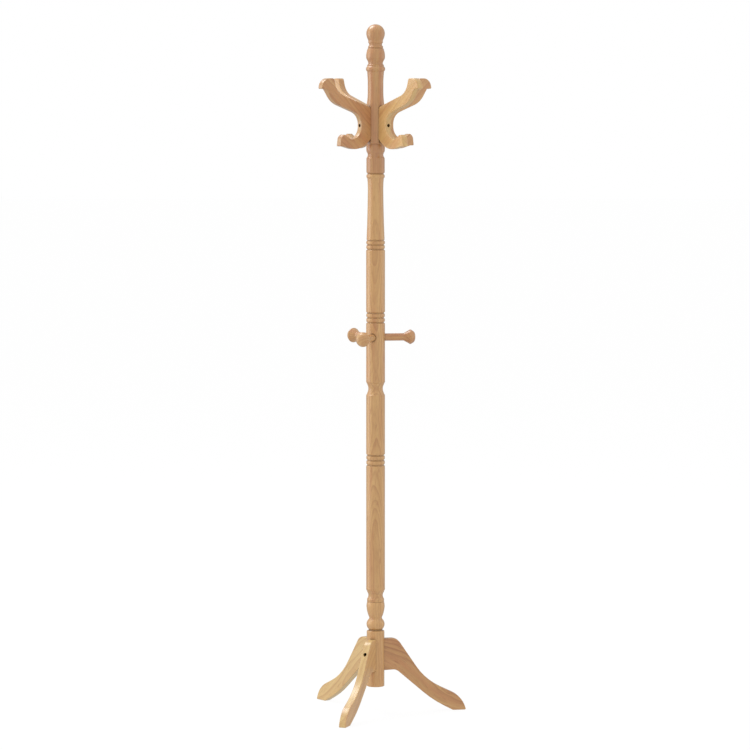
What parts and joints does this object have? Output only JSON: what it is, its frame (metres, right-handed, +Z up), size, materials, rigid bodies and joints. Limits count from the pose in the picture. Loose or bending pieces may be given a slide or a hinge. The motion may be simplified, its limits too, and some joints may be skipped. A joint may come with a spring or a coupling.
{
  "type": "standing coat rack",
  "caption": "Free-standing wooden coat rack: turned post with ball finial and grooves, double hooks round the top, short turned pegs at mid height and splayed curved legs.",
  "frame": {"origin": "on the floor, on the axis of the post", "axes": "+Z up along the post; the double hooks point along +X, +Y, -X and -Y; one leg and one peg point along +Y"},
  "size_m": [0.4304, 0.4288, 1.83],
  "materials": {
    "wood_turned": "clear satin lacquer on turned light hardwood",
    "wood_sawn": "clear satin lacquer on sawn light hardwood with rounded edges",
    "dowel_wood": "bare beech",
    "dark_steel": "black oxide",
    "zinc_steel": "bright zinc plate"
  },
  "bodies": {
    "root": {"upper_post": "wood_turned", "middle_post": "wood_turned", "lower_post": "wood_turned", "hook_right": "wood_sawn", "hook_back": "wood_sawn", "hook_left": "wood_sawn", "hook_front": "wood_sawn", "leg_right": "wood_sawn", "leg_back": "wood_sawn", "leg_left": "wood_sawn", "peg_right": "wood_turned", "peg_back": "wood_turned", "peg_left": "wood_turned", "hook_screws": "dark_steel", "leg_bolts": "dark_steel", "peg_screws": "zinc_steel", "leg_inserts": "zinc_steel", "upper_joint_stud": "zinc_steel", "upper_joint_insert": "zinc_steel", "lower_joint_stud": "zinc_steel", "lower_joint_insert": "zinc_steel", "hook_dowels": "dowel_wood", "leg_dowels": "dowel_wood"}
  },
  "joints": []
}
